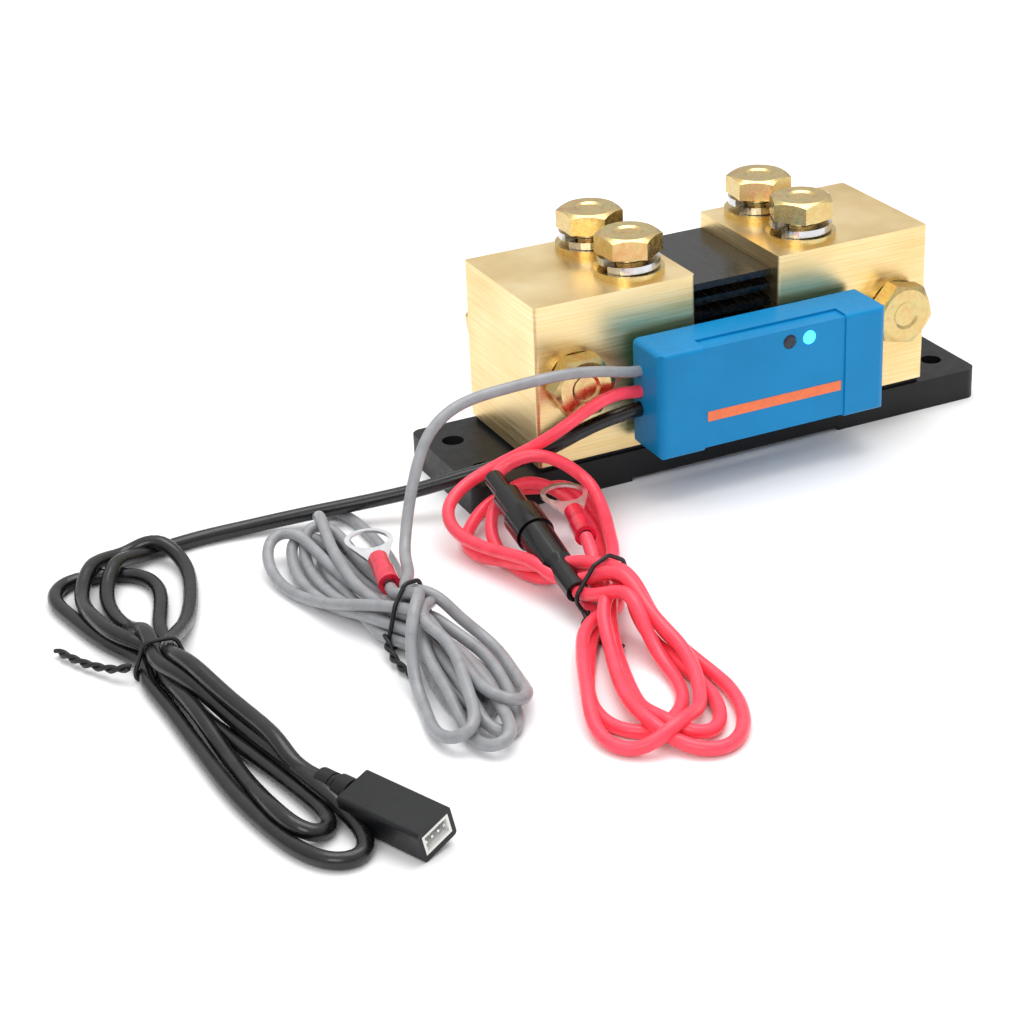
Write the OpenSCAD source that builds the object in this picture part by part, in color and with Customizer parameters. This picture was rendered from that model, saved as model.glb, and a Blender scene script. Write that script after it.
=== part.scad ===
// Battery monitor shunt: two brass terminal blocks joined by resistor strips on a moulded base,
// a monitor case in front, and three bundled leads with their terminals, fuse holder and data plug.
// Millimetres. X runs along the base, -Y is the side with the monitor case, Z is up.
// The origin is the centre of the base's four mounting holes, level with its feet.

/* [Base] */
// Length of the moulded base
base_l = 170; // [165:1:185]
// Width of the moulded base
base_w = 46; // [46:1:54]
// Height of the base's top above its feet
base_h = 9.5; // [8:0.5:12]
// Spacing of the mounting holes along the base
hole_pitch_x = 153; // [150:1:158]
// Spacing of the mounting holes across the base
hole_pitch_y = 21; // [18:1:26]
// Diameter of the mounting holes
hole_d = 6.5; // [5:0.1:6.6]

/* [Terminal blocks] */
// Length of each brass block
block_l = 51; // [49:0.5:52]
// Depth of each brass block
block_d = 45.6; // [45:0.1:46]
// Height of each brass block
block_h = 48.5; // [48:0.5:50]
// Gap between the two blocks
block_gap = 27.4; // [26:0.2:28]

/* [Resistor strips] */
// Number of strips in the stack
strip_count = 10; // [6:1:10]
// Distance from one strip to the next
strip_pitch = 4.5; // [3.8:0.1:4.5]
// Thickness of a strip
strip_t = 2; // [1:0.1:2.2]

/* [Bolts] */
// Thread diameter of the terminal bolts
bolt_d = 10; // [10:1:10]
// Width of the bolt heads across the flats
bolt_af = 17; // [16:0.5:17]
// Height of the bolt heads
bolt_head_h = 6.4; // [6:0.1:7]
// Distance between the bolts on top of a block
top_bolt_pitch = 24; // [23:0.5:25]

/* [Monitor case] */
// Length of the case
case_l = 74.5; // [73:0.5:76]
// Depth of the case
case_d = 16; // [16:0.5:18]
// Height of the case
case_h = 32; // [31:0.5:34]
// Wall thickness of the case
case_wall = 2; // [1.6:0.1:2.2]

/* [Leads] */
// Diameter of the grey lead
grey_d = 3.2; // [3:0.1:3.4]
// Diameter of the red lead
red_d = 3.6; // [3.4:0.1:3.6]
// Diameter of the black lead
black_d = 4.2; // [4:0.1:4.2]

/* [Hidden] */
$fn = 48;
// A small overshoot that makes a cut pass cleanly through a face
over = 0.5;

// Base details
foot_inner_x = 35;
foot_rise = 1;
base_corner_r = 3.5;
pad_h = 1.5;
pad_inset = 1;

// Terminal blocks
block_x0 = block_gap / 2;
block_x1 = block_x0 + block_l;
block_z0 = base_h + pad_h;
block_z1 = block_z0 + block_h;
block_front = -block_d / 2;
block_back = block_d / 2;
block_corner_r = 1;

// Resistor strips, brazed into slots that are milled from the blocks' back faces
strip_grip = 5.8;
strip_front = -18.5;
strip_back = 22.3;
strip_top = block_z1 - 4.9;
braze_gap = 0.05;

// Screws that hold the blocks down, put in from below
base_screw_x = 45;
base_screw_y = 12;
base_screw_d = 5;
base_screw_head_d = 9;
base_screw_head_h = 3;
base_screw_len = 18;
base_screw_seat = 4;

// Terminal bolts
bolt_fit = 0.05;
washer_face_h = 0.4;
bolt_corner_d = bolt_af / cos(30);
flat_washer_d = 20.5;
flat_washer_t = 2;
spring_washer_outer = 9.1;
spring_washer_inner = 5.3;
spring_washer_t = 2.1;
spring_washer_rise = 1.7;
top_bolt_x = 28.5;
top_bolt_y = 1.2;
top_thread = 24;
top_hole_depth = 22;
side_bolt_x = 53;
side_bolt_z = 36;
side_thread = 16;
side_hole_depth = 18;
side_washer_d = 18;
side_washer_t = 1.5;
// How far each head is turned about its own axis
top_turn = [-25, -30, 7, -35];
side_turn = [0, 20, -12, 8];
top_head_z = block_z1 + flat_washer_t + spring_washer_t + spring_washer_rise + 0.1;

// Monitor case
case_cx = 1.6;
case_z0 = 13.8;
case_back_y = -26;
case_front_y = case_back_y - case_d;
case_x0 = case_cx - case_l / 2;
case_corner_r = 3;
case_edge_r = 1.6;
band_half = 23.2;
band_front_step = 0.5;
band_bottom_step = 1;
band_top_step = 0.7;
band_top_y = -36;
cover_t = 1.4;
cover_fit = 0.2;
lead_exit_y = -29.5;
grey_exit_z = 37;
red_exit_z = 30.8;
black_exit_z = 25.7;
lead_hole_fit = 0.1;
light_z = 41.3;
light_x = [6.3, 12.8];
light_d = 4.2;
light_proud = 0.4;
stripe_l = 44;
stripe_h = 3;
stripe_z = 24.2;
stripe_t = 0.12;

// Circuit board and the posts that sense the voltage at the two blocks
board_x0 = -28;
board_l = 57;
board_z0 = 17.3;
board_h = 26;
board_back_y = -28.4;
board_t = 1.6;
post_x = 25;
post_z = 30;
post_d = 6;
post_bore_d = 3.2;
sense_screw_d = 3;
sense_head_d = 5.6;
sense_head_h = 2.2;
sense_depth = 6;
header_l = 3;
header_d = 4.2;
header_over = 2.6;
boss_at = [[-30.5, 19.8], [33, 41]];
boss_d = 4.6;
boss_pilot_d = 2;
case_screw_head_d = 3.6;
case_screw_head_h = 0.9;

// Routes of the leads: [x, y, z] along the centre line, from the case to the hank
grey_route = [
    [-31, -29.5, 37], [-35.6, -29.5, 37], [-40, -30.9, 38.2], [-45.3, -33.3, 40.5], [-50.6, -34, 42],
    [-56.3, -34, 43], [-63, -33.6, 43.3], [-71, -33, 43], [-79, -32.3, 42.3], [-86, -32, 41.8],
    [-93, -32.8, 41], [-98.5, -34, 39], [-102.8, -35.3, 36.2], [-106, -37, 32.8], [-108.6, -39, 29],
    [-111, -41.2, 25.2], [-113.3, -43.6, 21.4], [-115.4, -46.2, 17.4], [-117.6, -49.5, 13.4],
    [-120.2, -53.5, 9.6], [-122.8, -58, 6.4], [-124.5, -61.5, 4]
];
red_route = [
    [-31, -29.5, 30.8], [-35.6, -29.5, 30.8], [-40, -31, 32.2], [-45.3, -33.5, 33.8], [-50.9, -34.1, 33],
    [-56.7, -34, 30.3], [-62.6, -32.6, 26.3], [-68.6, -29.2, 21.6], [-75, -24.9, 17.2],
    [-82, -23.4, 14.3], [-88.6, -24.2, 12.3], [-94, -26.6, 10.4], [-97.8, -30.4, 8.6],
    [-99.6, -35, 6.6], [-99.8, -39.5, 4.5], [-99, -43.5, 2.6]
];
black_route = [
    [-31, -29.5, 25.7], [-35.6, -29.5, 25.7], [-41, -29, 25], [-47, -28.2, 23.9], [-53, -27.3, 22],
    [-59.4, -26.5, 19.5], [-65.6, -25.2, 17.2], [-71.2, -23.2, 15.4], [-76.9, -21, 13.8],
    [-82.3, -19, 12.5], [-87.9, -17, 11.2], [-94, -15, 9.7], [-100.7, -12.6, 8.2], [-108.5, -9.8, 6.9],
    [-116.8, -6.8, 5.6], [-126, -3.8, 4.5], [-136, -1, 3.3], [-146, 0.8, 2.5], [-155, 1.8, 2.2],
    [-163, 1.6, 2.2], [-167, 1.2, 2.3]
];
// Short runs between a hank and the pieces at the lead's free end
fuse_cap_tail = [
    [-82.2, -30, 15.3], [-81.9, -28.2, 15.6], [-80.3, -27.7, 16.2], [-78.1, -28.6, 17.1],
    [-75.4, -30, 19.2], [-73.4, -31, 20.3], [-71.4, -32.2, 20.9], [-68, -34, 20.5], [-63.9, -35, 18.2],
    [-60.1, -36.5, 15.1], [-57.9, -38, 12.3], [-57.2, -40, 9.2], [-57.8, -42.5, 6]
];
fuse_body_tail = [[-86, -88, 7.5], [-86, -90.5, 7.2], [-85.4, -93.5, 6.7], [-84.3, -97, 6]];
red_ring_tail = [[-73.2, -68, 11.6], [-74.1, -72, 10.6], [-74.9, -76, 8.4], [-75.4, -79, 6.2]];
grey_ring_tail = [[-128.9, -65.4, 9.6], [-129.4, -68.5, 8.4], [-129.6, -71.5, 6.2], [-129.4, -73.6, 4.4]];
plug_tail = [[-177, -136.6, 5.5], [-178.3, -133.4, 5.5], [-180.4, -128, 5.4], [-183.8, -122.5, 4.6]];

// Hanks, as slabs of their outer shape: [z from, z to, circles [x, y, radius] that bound it]
grey_slabs = [
    [0, 6.5, [[-132.4, -71.3, 5.8], [-122, -15, 6.5], [-142, -24, 6]]],
    [2.6, 7, [[-132.4, -71.3, 5], [-126, -83.7, 5]]],
    [0, 7, [[-126, -83.7, 5.8], [-138, -127, 7], [-121, -115, 6]]]
];
red_slabs = [
    [0, 4.2, [[-81.8, -80.9, 7.4], [-62.5, -34, 8], [-95, -44, 8]]],
    [0, 8.5, [[-62.5, -34, 8], [-69.5, -66, 6.5], [-76.3, -79, 3.5]]],
    [2.6, 4.2, [[-81.8, -80.9, 5.8], [-77.2, -98.1, 5.8]]],
    [3.6, 8.5, [[-76.8, -80, 3.2], [-76.1, -97, 3.2]]],
    [0, 7.5, [[-77.2, -98.1, 7.4], [-102, -144, 9], [-80, -148, 9]]]
];
black_slabs = [
    [0, 6, [[-189.6, -57.5, 5.8], [-172, 0, 8], [-198, -14, 7]]],
    [2.6, 7, [[-189.6, -57.5, 5], [-193, -71.1, 5]]],
    [0, 7, [[-193, -71.1, 5.8], [-183.5, -157, 5.5], [-188, -120, 6]]]
];
// Ties: [x, y, half width, half height, turn about Z]
grey_tie_at = [-129.2, -77.5, 7.5, 5.2, 27];
red_tie_at = [-79.5, -89.5, 9.3, 6.4, 15];
black_tie_at = [-191.3, -64.3, 7.5, 5.2, -14];
tie_wire = 1.2;

// Ring terminals: [x, y, z] of the eye's centre, and the turn of the barrel about Z
ring_t = 0.8;
ring_outer_d = 13.2;
ring_eye_d = 10.5;
tongue_l = 13;
barrel_l = 5;
barrel_rise = 1.2;
sleeve_d = 6;
sleeve_l = 15;
grey_eye = [-122.7, -35.8, 8.4];
grey_turn = -101.5;
red_eye = [-65.8, -40.6, 10.4];
red_turn = -105;

// Fuse holder: where its lower end lies, how it points, and its sections along its axis
fuse_at = [-86, -88, 7.5];
fuse_rise = 7.6;
fuse_turn = -3.75;
fuse_tail_l = 12.2;
fuse_main_top = 28;
fuse_neck_top = 36;
fuse_neck_d = 7.8;
fuse_bore_d = 6.2;
fuse_cap_z = 28.3;
fuse_cap_fit = 0.1;
fuse_collar_top = 37.5;
fuse_crown_top = 48.7;
fuse_top = 58.6;
fuse_tail_bore_d = 3.7;
cap_bore_top = 45;

// Data plug: where the middle of its front face is, and how it points and leans
plug_tip = [-162.8, -170];
plug_turn = -67;
plug_roll = 14;
plug_l = 25;
plug_w = 11;
plug_h = 8.5;
plug_z = plug_h / 2 * cos(plug_roll) + plug_w / 2 * sin(plug_roll);
plug_edge_r = 1;
insert_w = 8.6;
insert_h = 5.4;
insert_depth = 7;
insert_wall = 0.7;
pin_w = 0.6;
pin_pitch = 2;
pin_l = 5.4;

// ---- Shared shapes ----

// A rectangle with round corners, its lower left corner at the origin
module round_rect(w, h, r) {
    translate([r, 0]) square([w - 2 * r, h]);
    translate([0, r]) square([w, h - 2 * r]);
    for (x = [r, w - r], y = [r, h - r]) translate([x, y]) circle(r);
}

// Places its child at each of the four corners of a rectangle
module at_corners(dx, dy) {
    for (x = [-dx, dx], y = [-dy, dy]) translate([x, y, 0]) children();
}

function unit(v) = v / norm(v);
function tangent(p, i) = unit(p[min(i + 1, len(p) - 1)] - p[max(i - 1, 0)]);
function loop_tangent(p, i) = unit(p[(i + 1) % len(p)] - p[(i + len(p) - 1) % len(p)]);
function disc(r, n) = [for (k = [0 : n - 1]) r * [cos(360 * k / n), sin(360 * k / n)]];

// Sweeps a flat profile along a path; ref is a direction the path never follows
module sweep(path, profile, ref = [0, 0, 1], closed = false) {
    n = len(profile);
    m = len(path);
    points = [
        for (i = [0 : m - 1])
            let (t = closed ? loop_tangent(path, i) : tangent(path, i))
            let (side = unit(cross(t, ref)), up = cross(side, t))
            for (q = profile) path[i] + q[0] * side + q[1] * up
    ];
    spans = closed ? m - 1 : m - 2;
    walls = [
        for (i = [0 : spans], k = [0 : n - 1])
            let (a = i * n, b = ((i + 1) % m) * n, k2 = (k + 1) % n)
            [a + k, a + k2, b + k2, b + k]
    ];
    first_end = [for (k = [n - 1 : -1 : 0]) k];
    last_end = [for (k = [0 : n - 1]) (m - 1) * n + k];
    faces = closed ? walls : concat(walls, [first_end, last_end]);
    polyhedron(points = points, faces = faces, convexity = 6);
}

module lead(route, d) {
    sweep(route, disc(d / 2, 8));
}

// ---- Base and terminal blocks ----

module base() {
    color("#2b2b2d") difference() {
        union() {
            translate([-base_l / 2, -base_w / 2, 0])
                linear_extrude(base_h) round_rect(base_l, base_w, base_corner_r);
            for (s = [-1, 1]) translate([s * (block_x0 + block_l / 2), 0, base_h + pad_h / 2])
                cube([block_l - 2 * pad_inset, block_d - 2 * pad_inset, pad_h], center = true);
        }
        translate([-foot_inner_x, -base_w / 2 - over, -over])
            cube([2 * foot_inner_x, base_w + 2 * over, foot_rise + over]);
        at_corners(hole_pitch_x / 2, hole_pitch_y / 2)
            translate([0, 0, -over]) cylinder(d = hole_d, h = base_h + 2 * over);
        at_corners(base_screw_x, base_screw_y) {
            translate([0, 0, -over]) cylinder(d = base_screw_head_d + 1, h = base_screw_seat + over);
            cylinder(d = base_screw_d + 0.5, h = base_h + pad_h + over);
        }
    }
}

module tapped_hole_down(depth) {
    translate([0, 0, -depth]) cylinder(d = bolt_d, h = depth + over);
}

// The block on the +X side; the other one is its mirror image
module block() {
    difference() {
        translate([block_x0, block_front, block_z0])
            linear_extrude(block_h) round_rect(block_l, block_d, block_corner_r);
        for (i = [0 : strip_count - 1])
            translate([
                block_x0 - over, strip_front - braze_gap,
                strip_top - strip_t - i * strip_pitch - braze_gap
            ])
                cube([strip_grip + over + braze_gap, block_d, strip_t + 2 * braze_gap]);
        for (s = [-1, 1]) {
            translate([top_bolt_x, top_bolt_y + s * top_bolt_pitch / 2, block_z1])
                tapped_hole_down(top_hole_depth);
            translate([side_bolt_x, s * block_d / 2, side_bolt_z]) rotate([-s * 90, 0, 0])
                tapped_hole_down(side_hole_depth);
            translate([base_screw_x, s * base_screw_y, block_z0 - over])
                cylinder(d = base_screw_d, h = base_screw_len - 4);
        }
        translate([post_x, block_front + sense_depth, post_z]) rotate([90, 0, 0])
            cylinder(d = sense_screw_d, h = sense_depth + over);
    }
}

module block_right() {
    color("#dcbc78") block();
}

module block_left() {
    color("#dcbc78") mirror([1, 0, 0]) block();
}

module resistor_strips() {
    reach = block_x0 + strip_grip;
    color("#1b1b1c") for (i = [0 : strip_count - 1])
        translate([-reach, strip_front, strip_top - strip_t - i * strip_pitch])
            cube([2 * reach, strip_back - strip_front, strip_t]);
}

module base_screws() {
    color("#8d8f92") at_corners(base_screw_x, base_screw_y) {
        translate([0, 0, base_screw_seat - base_screw_head_h]) difference() {
            cylinder(d = base_screw_head_d, h = base_screw_head_h);
            translate([0, 0, -over]) cylinder(d = 4, h = 1.6 + over, $fn = 6);
        }
        translate([0, 0, base_screw_seat])
            cylinder(d = base_screw_d - 2 * bolt_fit, h = base_screw_len - 1);
    }
}

// ---- Terminal bolts ----

// A hexagon bolt with its seat at the origin, its head up and its thread down
module hex_bolt(thread_l) {
    thread_r = bolt_d / 2 - bolt_fit;
    chamfer = 1.2;
    cylinder(d = bolt_af - 1, h = washer_face_h);
    difference() {
        intersection() {
            translate([0, 0, washer_face_h])
                cylinder(d = bolt_corner_d, h = bolt_head_h - washer_face_h, $fn = 6);
            union() {
                cylinder(d = bolt_corner_d + 1, h = bolt_head_h - chamfer);
                translate([0, 0, bolt_head_h - chamfer])
                    cylinder(d1 = bolt_corner_d + 0.4, d2 = bolt_af - 1.4, h = chamfer);
            }
        }
        translate([0, 0, bolt_head_h - 0.5]) cylinder(d1 = 7, d2 = 10.5, h = 0.5 + over);
    }
    translate([0, 0, -thread_l + 1]) cylinder(r = thread_r, h = thread_l - 1 + 0.2);
    translate([0, 0, -thread_l]) cylinder(r1 = thread_r - 1, r2 = thread_r, h = 1);
}

// Place of top bolt k, counted 1 and 2 on the left block, 3 and 4 on the right, front one first
function top_x(k) = k <= 2 ? -top_bolt_x : top_bolt_x;
function top_y(k) = top_bolt_y + (k % 2 == 1 ? -1 : 1) * top_bolt_pitch / 2;

module flat_washer(k) {
    color("#d8b45c") translate([top_x(k), top_y(k), block_z1]) difference() {
        cylinder(d = flat_washer_d, h = flat_washer_t);
        translate([0, 0, -over]) cylinder(d = bolt_d + 0.6, h = flat_washer_t + 2 * over);
    }
}

// The spring washer is one open turn, so its two ends stand apart
module spring_washer(k) {
    mid = (spring_washer_outer + spring_washer_inner) / 2;
    half_w = (spring_washer_outer - spring_washer_inner) / 2;
    half_t = spring_washer_t / 2;
    turn = 352;
    steps = 40;
    path = [
        for (i = [0 : steps]) let (a = turn * i / steps)
            [mid * cos(a), mid * sin(a), half_t + spring_washer_rise * i / steps]
    ];
    box = [[-half_w, -half_t], [half_w, -half_t], [half_w, half_t], [-half_w, half_t]];
    color("#c9ccd0") translate([top_x(k), top_y(k), block_z1 + flat_washer_t + 0.02]) rotate(200)
        sweep(path, box);
}

module top_bolt(k) {
    color("#c8b46e") translate([top_x(k), top_y(k), top_head_z]) rotate(top_turn[k - 1])
        hex_bolt(top_thread);
}

// Side bolts 1 and 2 are on the left block, 3 and 4 on the right, front one first
function side_x(k) = k <= 2 ? -side_bolt_x : side_bolt_x;
function side_s(k) = k % 2 == 1 ? -1 : 1;

module on_side(k) {
    translate([side_x(k), side_s(k) * block_d / 2, side_bolt_z]) rotate([-side_s(k) * 90, 0, 0])
        children();
}

module side_washer(k) {
    color("#d8b45c") on_side(k) difference() {
        cylinder(d = side_washer_d, h = side_washer_t);
        translate([0, 0, -over]) cylinder(d = bolt_d + 0.6, h = side_washer_t + 2 * over);
    }
}

module side_bolt(k) {
    color("#c8b46e") on_side(k) translate([0, 0, side_washer_t]) rotate(side_turn[k - 1])
        hex_bolt(side_thread);
}

// ---- Monitor case ----

module case_solid() {
    intersection() {
        translate([case_x0, case_back_y, case_z0]) rotate([90, 0, 0])
            linear_extrude(case_d) round_rect(case_l, case_h, case_edge_r);
        translate([case_x0, case_front_y, case_z0 - over])
            linear_extrude(case_h + 2 * over) round_rect(case_l, case_d + case_corner_r, case_corner_r);
        translate([case_x0 - over, case_front_y, case_z0]) rotate([90, 0, 90])
            linear_extrude(case_l + 2 * over) round_rect(case_d + case_corner_r, case_h, case_edge_r);
    }
}

// What the recessed band takes off the front, the bottom and the top's front edge
module case_band_cut() {
    band = 2 * band_half;
    translate([case_cx - band_half, case_front_y - over, case_z0 - over]) {
        cube([band, band_front_step + over, case_h + 2 * over]);
        cube([band, case_d + 2 * over, band_bottom_step + over]);
        translate([0, 0, case_h + over - band_top_step])
            cube([band, band_top_y - case_front_y + over, band_top_step + over]);
    }
}

module case_shell() {
    cavity_front = case_front_y + case_wall + band_front_step;
    cavity_z0 = case_z0 + case_wall + band_bottom_step;
    cavity_h = case_h - 2 * case_wall - band_bottom_step;
    color("#0078b4") difference() {
        union() {
            difference() {
                case_solid();
                case_band_cut();
                translate([case_x0 + case_wall, cavity_front, cavity_z0])
                    cube([case_l - 2 * case_wall, case_d, cavity_h]);
            }
            for (b = boss_at) translate([b[0], cavity_front - 0.2, b[1]]) rotate([-90, 0, 0])
                cylinder(d = boss_d, h = case_back_y - cover_t - cavity_front);
        }
        for (x = light_x) translate([x, cavity_front + over, light_z]) rotate([90, 0, 0])
            cylinder(d = light_d + 0.1, h = case_wall + band_front_step + 2 * over);
        for (b = boss_at) translate([b[0], case_back_y - cover_t, b[1]]) rotate([90, 0, 0])
            cylinder(d = boss_pilot_d, h = 8);
        lead_hole(grey_exit_z, grey_d);
        lead_hole(red_exit_z, red_d);
        lead_hole(black_exit_z, black_d);
    }
}

module lead_hole(z, d) {
    translate([case_x0 - over, lead_exit_y, z]) rotate([0, 90, 0])
        cylinder(d = d + 2 * lead_hole_fit, h = case_wall + 2 * over);
}

module case_back() {
    inset = case_wall + cover_fit;
    y0 = case_back_y - cover_t;
    color("#0a6ea6") difference() {
        translate([case_x0 + inset, y0, case_z0 + inset + band_bottom_step])
            cube([case_l - 2 * inset, cover_t, case_h - 2 * inset - band_bottom_step]);
        for (s = [-1, 1]) translate([s * post_x, y0 - over, post_z]) rotate([-90, 0, 0])
            cylinder(d = post_d + 0.6, h = cover_t + 2 * over);
        for (b = boss_at) translate([b[0], y0 - over, b[1]]) rotate([-90, 0, 0]) {
            cylinder(d = boss_pilot_d + 0.4, h = cover_t + 2 * over);
            translate([0, 0, over + cover_t - case_screw_head_h])
                cylinder(d = case_screw_head_d + 0.4, h = case_screw_head_h + over);
        }
    }
}

module case_screws() {
    color("#8d8f92") for (b = boss_at) translate([b[0], case_back_y - case_screw_head_h, b[1]]) {
        rotate([-90, 0, 0]) cylinder(d = case_screw_head_d, h = case_screw_head_h);
        rotate([90, 0, 0]) cylinder(d = boss_pilot_d - 0.1, h = 6);
    }
}

module circuit_board() {
    color("#1e6b3a") difference() {
        translate([board_x0, board_back_y - board_t, board_z0]) cube([board_l, board_t, board_h]);
        for (s = [-1, 1]) translate([s * post_x, board_back_y + over, post_z]) rotate([90, 0, 0])
            cylinder(d = post_bore_d, h = board_t + 2 * over);
    }
}

// Parts on the board: [x, z, width, height, how far it stands off the board]
board_items = [
    [-20, 38.5, 5, 7, 3], [-13, 27, 9, 9, 1.2], [-1, 34, 12, 9, 2.4], [8, 24, 7, 7, 1.6],
    [18, 34, 6, 6, 4.5], [19, 22, 5, 4, 1.4], [-4, 21, 6, 4, 2]
];
module board_parts() {
    front = board_back_y - board_t;
    color("#26282b") {
        for (p = board_items) translate([p[0] - p[2] / 2, front - p[4], p[1] - p[3] / 2])
            cube([p[2], p[4], p[3]]);
        for (x = light_x) translate([x - 1.5, front - 1.1, light_z - 1]) cube([3, 1.1, 2]);
        translate([board_x0 - header_l, lead_exit_y - header_d / 2, black_exit_z - header_over])
            cube([header_l, header_d, grey_exit_z - black_exit_z + 2 * header_over]);
    }
}

module sense_posts() {
    color("#dcbc78") for (s = [-1, 1]) translate([s * post_x, block_front, post_z])
        rotate([90, 0, 0]) difference() {
            cylinder(d = post_d, h = block_front - board_back_y);
            translate([0, 0, -over]) cylinder(d = post_bore_d, h = 10);
        }
}

module sense_screws() {
    front = board_back_y - board_t;
    color("#c9ccd0") for (s = [-1, 1]) translate([s * post_x, front, post_z]) {
        rotate([90, 0, 0]) cylinder(d = sense_head_d, h = sense_head_h);
        rotate([-90, 0, 0]) cylinder(d = sense_screw_d - 0.1, h = block_front - front + sense_depth - 1);
    }
}

module light_pipe(x) {
    back = board_back_y - board_t - 1.2;
    tip = case_front_y + band_front_step - light_proud;
    translate([x, back, light_z]) rotate([90, 0, 0]) {
        cylinder(d = light_d - 0.1, h = back - tip - 0.4);
        translate([0, 0, back - tip - 0.4]) cylinder(d1 = light_d - 0.1, d2 = light_d - 1.3, h = 0.4);
    }
}

module error_light() {
    color("#20242c") light_pipe(light_x[0]);
}

module link_light() {
    color("#30b8ff") light_pipe(light_x[1]);
}

module label_stripe() {
    color("#f0733c")
        translate([case_cx - stripe_l / 2, case_front_y + band_front_step - stripe_t, stripe_z - stripe_h / 2])
            cube([stripe_l, stripe_t, stripe_h]);
}

// ---- Bundled leads ----

// The outer shape of a hank: two spread ends and a narrow neck where the tie goes round
module hank(slabs) {
    for (s = slabs) translate([0, 0, s[0]]) linear_extrude(s[1] - s[0])
        hull() for (c = s[2]) translate([c[0], c[1]]) circle(r = c[2], $fn = 24);
}

// A wire tie: one oval turn round the neck of a hank
module tie(at) {
    steps = 28;
    across = [cos(at[4]), sin(at[4]), 0];
    along = [-sin(at[4]), cos(at[4]), 0];
    path = [
        for (i = [0 : steps - 1]) let (a = 360 * i / steps)
            [at[0], at[1], at[3]] + at[2] * cos(a) * across + [0, 0, (at[3] - tie_wire / 2) * sin(a)]
    ];
    color("#1a1a1b") sweep(path, disc(tie_wire / 2, 6), along, closed = true);
}

module grey_lead() {
    color("#a8a8ab") {
        lead(grey_route, grey_d);
        lead(grey_ring_tail, grey_d);
    }
}

module red_lead() {
    color("#ff465a") lead(red_route, red_d);
}

module red_tails() {
    color("#ff465a") {
        lead(fuse_cap_tail, red_d);
        lead(fuse_body_tail, red_d);
        lead(red_ring_tail, red_d);
    }
}

module black_lead() {
    color("#2f3134") {
        lead(black_route, black_d);
        lead(plug_tail, black_d);
    }
}

module grey_hank() {
    color("#a8a8ab") hank(grey_slabs);
}

module red_hank() {
    color("#ff465a") hank(red_slabs);
}

module black_hank() {
    color("#2f3134") hank(black_slabs);
}

module grey_tie() {
    tie(grey_tie_at);
}

module red_tie() {
    tie(red_tie_at);
}

module black_tie() {
    tie(black_tie_at);
}

// A ring terminal: a flat eye, a tongue that narrows, and a barrel crimped on the wire
module ring_terminal(eye, turn) {
    color("#d5d7da") translate(eye) rotate(turn) {
        linear_extrude(ring_t) difference() {
            union() {
                circle(d = ring_outer_d);
                polygon([[2, 6.2], [tongue_l, 2.3], [tongue_l, -2.3], [2, -6.2]]);
            }
            circle(d = ring_eye_d);
        }
        translate([tongue_l - 0.2, 0, barrel_rise]) rotate([0, 90, 0]) difference() {
            cylinder(d = 4.6, h = barrel_l);
            translate([0, 0, -over]) cylinder(d = 3.7, h = barrel_l + 2 * over);
        }
    }
}

module ring_sleeve(eye, turn, lead_d) {
    color("#e11937") translate(eye) rotate(turn) translate([tongue_l + 0.3, 0, barrel_rise])
        rotate([0, 90, 0]) difference() {
            union() {
                cylinder(d = sleeve_d - 0.5, h = 8);
                translate([0, 0, 7.5]) cylinder(d = sleeve_d, h = sleeve_l - 7.5);
            }
            translate([0, 0, -over]) cylinder(d = 4.7, h = barrel_l + over);
            cylinder(d = lead_d + 0.2, h = sleeve_l + over);
        }
}

module grey_ring() {
    ring_terminal(grey_eye, grey_turn);
}

module grey_sleeve() {
    ring_sleeve(grey_eye, grey_turn, grey_d);
}

module red_ring() {
    ring_terminal(red_eye, red_turn);
}

module red_sleeve() {
    ring_sleeve(red_eye, red_turn, red_d);
}

// ---- Fuse holder ----

module on_fuse_axis() {
    translate(fuse_at) rotate([0, 0, fuse_turn]) rotate([fuse_rise - 90, 0, 0]) children();
}

module fuse_body() {
    color("#1c1c1d") on_fuse_axis() difference() {
        union() {
            cylinder(d = 6.2, h = fuse_tail_l);
            translate([0, 0, fuse_tail_l - 1]) cylinder(d1 = 6.2, d2 = 8.6, h = 2);
            translate([0, 0, fuse_tail_l + 1])
                cylinder(d1 = 8.6, d2 = 9.6, h = fuse_main_top - fuse_tail_l - 1);
            translate([0, 0, fuse_tail_l + 1])
                cylinder(d = fuse_neck_d, h = fuse_neck_top - fuse_tail_l - 1);
        }
        translate([0, 0, fuse_tail_l]) cylinder(d = fuse_bore_d, h = fuse_top);
        translate([0, 0, -over]) cylinder(d = fuse_tail_bore_d, h = fuse_top);
    }
}

module fuse_cap() {
    color("#1c1c1d") on_fuse_axis() difference() {
        union() {
            translate([0, 0, fuse_cap_z]) cylinder(d = 10.8, h = fuse_collar_top - fuse_cap_z);
            translate([0, 0, fuse_collar_top - 0.2]) cylinder(d = 8, h = fuse_crown_top - fuse_collar_top);
            translate([0, 0, fuse_crown_top - 1]) cylinder(d = 5.4, h = fuse_top - fuse_crown_top + 1);
        }
        translate([0, 0, fuse_cap_z - over])
            cylinder(d = fuse_neck_d + 2 * fuse_cap_fit, h = fuse_neck_top - fuse_cap_z + over + 0.3);
        translate([0, 0, fuse_neck_top]) cylinder(d = fuse_bore_d, h = cap_bore_top - fuse_neck_top);
        translate([0, 0, fuse_neck_top]) cylinder(d = fuse_tail_bore_d, h = fuse_top);
    }
}

module fuse_contact_lower() {
    color("#c9ccd0") on_fuse_axis() translate([0, 0, fuse_tail_l + 0.1]) cylinder(d = 6, h = 1.8);
}

// The upper contact rides on the spring, just clear of the fuse
module fuse_contact_upper() {
    color("#c9ccd0") on_fuse_axis() translate([0, 0, fuse_tail_l + 22.4]) cylinder(d = 5.4, h = 1.5);
}

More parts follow.
